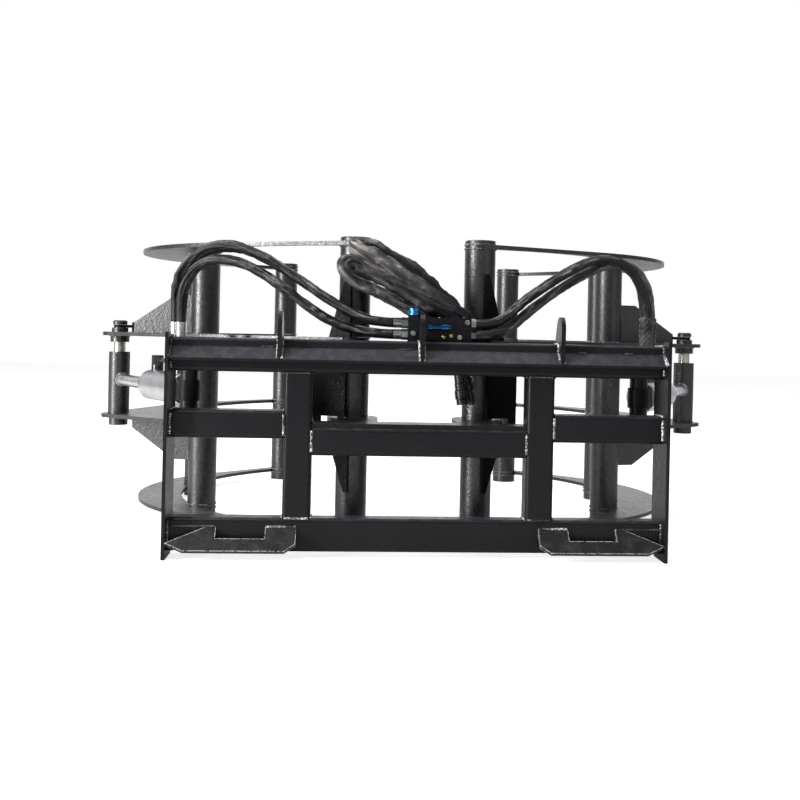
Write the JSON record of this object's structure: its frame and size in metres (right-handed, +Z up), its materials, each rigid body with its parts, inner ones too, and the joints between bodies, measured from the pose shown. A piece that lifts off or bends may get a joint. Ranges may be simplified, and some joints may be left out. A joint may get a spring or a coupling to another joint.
{
  "type": "bale clamp",
  "caption": "Loader bale clamp with two hugging arms of crescent plates and upright tubes, swung about vertical pivots by hydraulic cylinders on a quick-attach frame.",
  "frame": {"origin": "middle of the centre rail's rear face, on the plane that meets the loader's coupler", "axes": "+X is the loader driver's right, +Y points forward from the loader to the bale, +Z is up"},
  "size_m": [1.7038, 1.36, 0.7449],
  "materials": {
    "black_paint": "satin",
    "zinc_steel": "satin",
    "chrome": "polished",
    "bronze": "satin",
    "valve_block": "satin",
    "coupler_steel": "satin",
    "hose_sleeve": "woven"
  },
  "bodies": {
    "frame": {"top_beam": "black_paint", "hook_lip": "black_paint", "lip_ribs": "black_paint", "end_plates": "black_paint", "bottom_rail": "black_paint", "center_rail": "black_paint", "posts": "black_paint", "outer_rails": "black_paint", "lock_plates": "black_paint", "pivot_plate_upper": "black_paint", "pivot_plate_lower": "black_paint", "pivot_bushes": "bronze", "cylinder_lugs": "black_paint", "base_pins": "zinc_steel", "pin_spacers": "zinc_steel", "manifold": "valve_block", "manifold_fittings": "zinc_steel", "feed_couplers": "coupler_steel", "hose_left_far": "hose_sleeve", "hose_left_base": "hose_sleeve", "hose_right_base": "hose_sleeve", "hose_right_far": "hose_sleeve", "feed_hose_upper": "hose_sleeve", "feed_hose_lower": "hose_sleeve"},
    "arm_right": {"pivot_tube_right": "black_paint", "bale_tubes_right": "black_paint", "tip_tube_right": "black_paint", "bottom_plate_right": "black_paint", "lower_plate_right": "black_paint", "upper_plate_right": "black_paint", "top_plate_right": "black_paint", "gussets_right": "black_paint", "thrust_rings_right": "black_paint", "pin_bosses_right": "black_paint", "rod_pin_right": "zinc_steel", "pin_keeper_right": "black_paint"},
    "arm_left": {"pivot_tube_left": "black_paint", "bale_tubes_left": "black_paint", "tip_tube_left": "black_paint", "bottom_plate_left": "black_paint", "lower_plate_left": "black_paint", "upper_plate_left": "black_paint", "top_plate_left": "black_paint", "gussets_left": "black_paint", "thrust_rings_left": "black_paint", "pin_bosses_left": "black_paint", "rod_pin_left": "zinc_steel", "pin_keeper_left": "black_paint"},
    "barrel_right": {"cylinder_base_right": "black_paint", "barrel_right": "zinc_steel", "gland_right": "zinc_steel", "port_fittings_right": "zinc_steel"},
    "rod_right": {"piston_rod_right": "chrome", "cross_tube_right": "black_paint"},
    "barrel_left": {"cylinder_base_left": "black_paint", "barrel_left": "zinc_steel", "gland_left": "zinc_steel", "port_fittings_left": "zinc_steel"},
    "rod_left": {"piston_rod_left": "chrome", "cross_tube_left": "black_paint"}
  },
  "joints": [
    {"name": "arm_right_swing", "type": "hinge", "parent": "frame", "child": "arm_right", "pos_m": [0.154, 0.2, 0], "axis": [0, 0, 1], "range_deg": [-20, 2]},
    {"name": "arm_left_swing", "type": "hinge", "parent": "frame", "child": "arm_left", "pos_m": [-0.154, 0.2, 0], "axis": [0, 0, -1], "range_deg": [-20, 2]},
    {"name": "cylinder_right_swing", "type": "hinge", "parent": "frame", "child": "barrel_right", "pos_m": [0.541, 0.13, 0.10425], "axis": [0, 0, 1], "range_deg": [-28.5, 3]},
    {"name": "rod_right_slide", "type": "slide", "parent": "barrel_right", "child": "rod_right", "axis": [0.4959, 0.8684, 0], "range_m": [-0.118, 0.013]},
    {"name": "cylinder_left_swing", "type": "hinge", "parent": "frame", "child": "barrel_left", "pos_m": [-0.541, 0.13, 0.10425], "axis": [0, 0, -1], "range_deg": [-28.5, 3]},
    {"name": "rod_left_slide", "type": "slide", "parent": "barrel_left", "child": "rod_left", "axis": [-0.4959, 0.8684, 0], "range_m": [-0.118, 0.013]}
  ],
  "couplings": [
    {"joint": "cylinder_right_swing", "follows": "arm_right_swing", "ratio": 1.416},
    {"joint": "rod_right_slide", "follows": "arm_right_swing", "m_per_rad": 0.3337},
    {"joint": "cylinder_left_swing", "follows": "arm_left_swing", "ratio": 1.416},
    {"joint": "rod_left_slide", "follows": "arm_left_swing", "m_per_rad": 0.3337}
  ]
}
